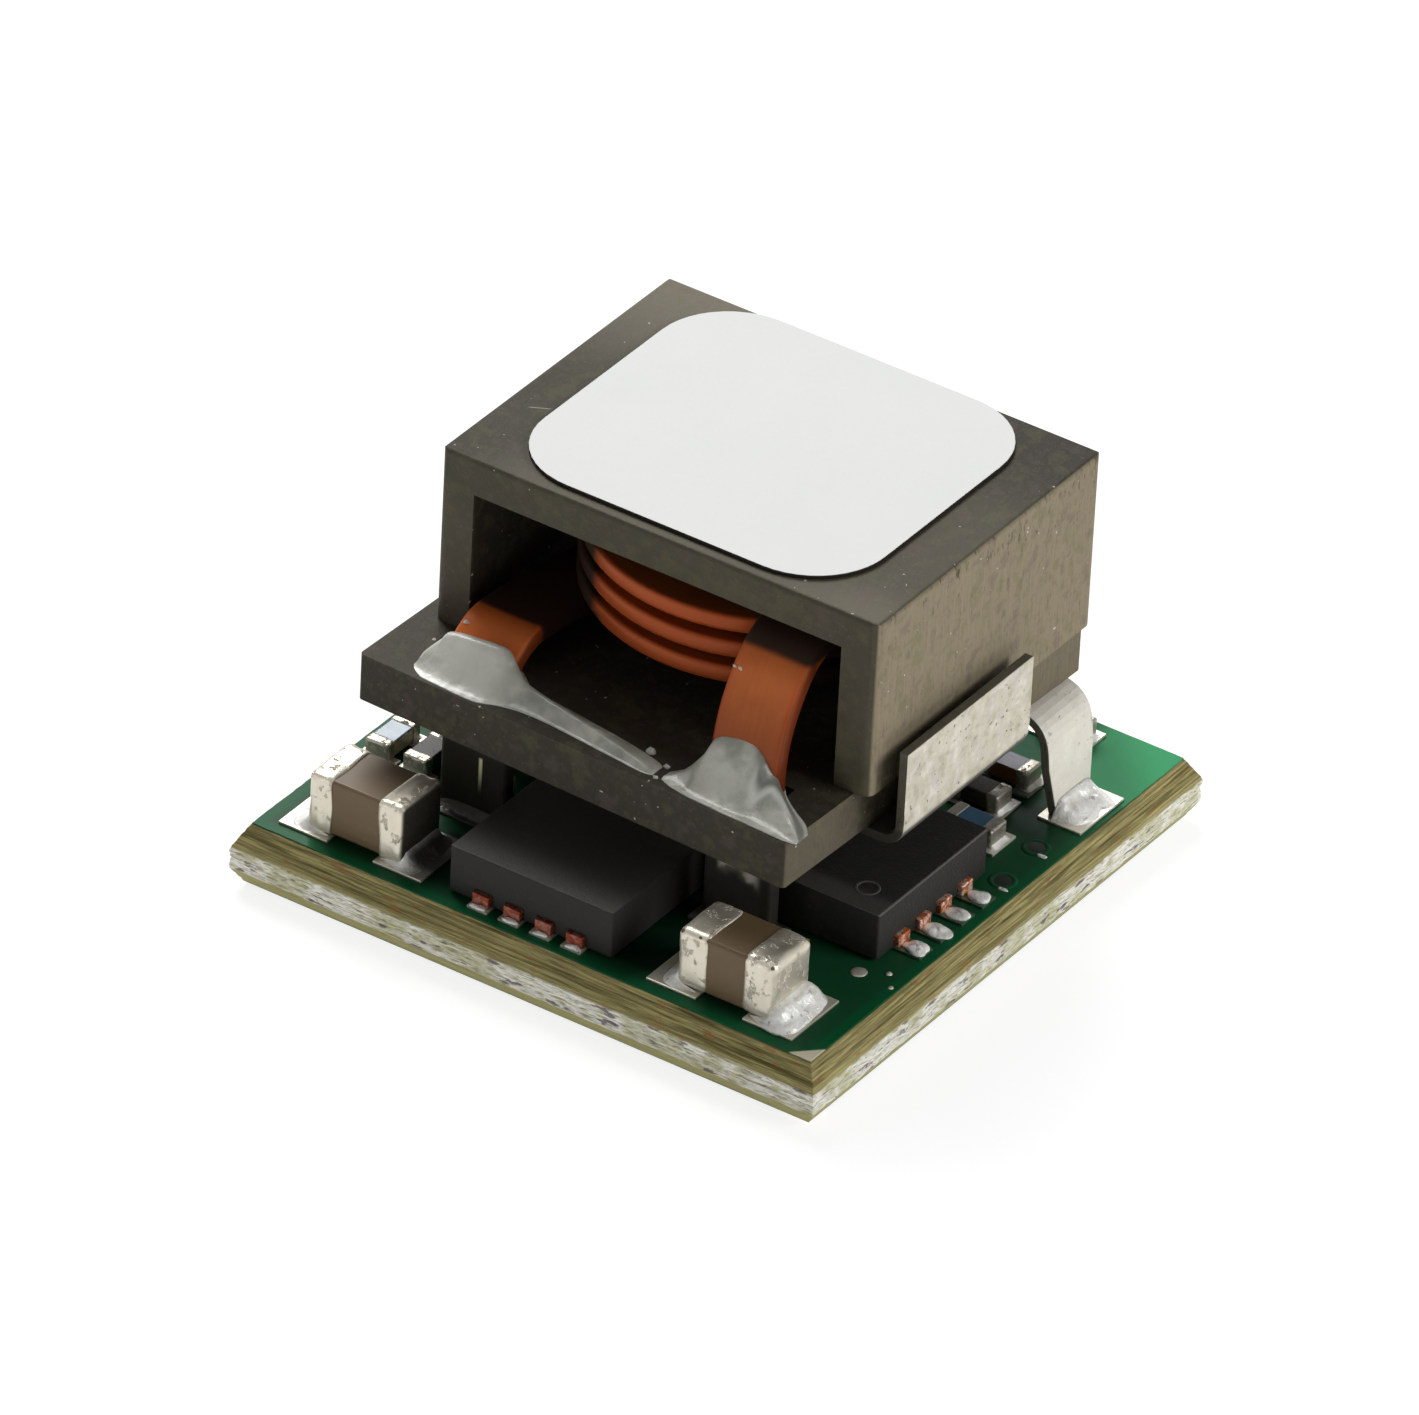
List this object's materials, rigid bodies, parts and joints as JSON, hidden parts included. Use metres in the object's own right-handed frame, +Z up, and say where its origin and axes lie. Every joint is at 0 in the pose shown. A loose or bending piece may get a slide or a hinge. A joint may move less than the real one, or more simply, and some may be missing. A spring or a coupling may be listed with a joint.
{
  "type": "dc-dc converter",
  "caption": "Open-frame step-down power module: square circuit board with power switches and chip parts under a ferrite inductor whose flat-wire winding stands on formed leads.",
  "frame": {"origin": "middle of the underside, on the faces of the lands", "axes": "+Z up out of the board, -Y towards the winding's two leads, +X towards the side switch"},
  "size_m": [0.0122, 0.0122, 0.0078],
  "materials": {
    "board_mask": "green solder mask on glass-fibre laminate",
    "tinned_pads": "dull tin",
    "solder": "bright solder",
    "ferrite": "ground grey-brown ferrite",
    "winding_enamel": "enamelled copper",
    "glue": "cured grey-green adhesive",
    "label": "plain white film",
    "tinned_clip": "matte cream tin",
    "epoxy": "black moulded epoxy",
    "lead_copper": "cut copper",
    "capacitor_ceramic": "brown ceramic",
    "tinned_ends": "dull tin",
    "resistor_glaze": "blue glaze",
    "small_ceramic": "dark ceramic"
  },
  "bodies": {
    "root": {"board": "board_mask", "top_pads": "tinned_pads", "bottom_lands": "tinned_pads", "solder_joints": "solder", "upper_core": "ferrite", "lower_core": "ferrite", "winding": "winding_enamel", "glue_left": "glue", "glue_right": "glue", "pickup_label": "label", "core_clip": "tinned_clip", "front_switch_body": "epoxy", "front_switch_leads": "lead_copper", "side_switch_body": "epoxy", "side_switch_leads": "lead_copper", "controller_body": "epoxy", "controller_leads": "tinned_pads", "left_capacitor_body": "capacitor_ceramic", "left_capacitor_ends": "tinned_ends", "front_capacitor_body": "capacitor_ceramic", "front_capacitor_ends": "tinned_ends", "output_capacitor_1_body": "capacitor_ceramic", "output_capacitor_1_ends": "tinned_ends", "output_capacitor_2_body": "capacitor_ceramic", "output_capacitor_2_ends": "tinned_ends", "resistor_1_body": "resistor_glaze", "resistor_1_ends": "tinned_ends", "resistor_2_body": "resistor_glaze", "resistor_2_ends": "tinned_ends", "resistor_3_body": "resistor_glaze", "resistor_3_ends": "tinned_ends", "small_capacitor_1_body": "small_ceramic", "small_capacitor_1_ends": "tinned_ends", "small_capacitor_2_body": "small_ceramic", "small_capacitor_2_ends": "tinned_ends", "small_capacitor_3_body": "small_ceramic", "small_capacitor_3_ends": "tinned_ends"}
  },
  "joints": []
}
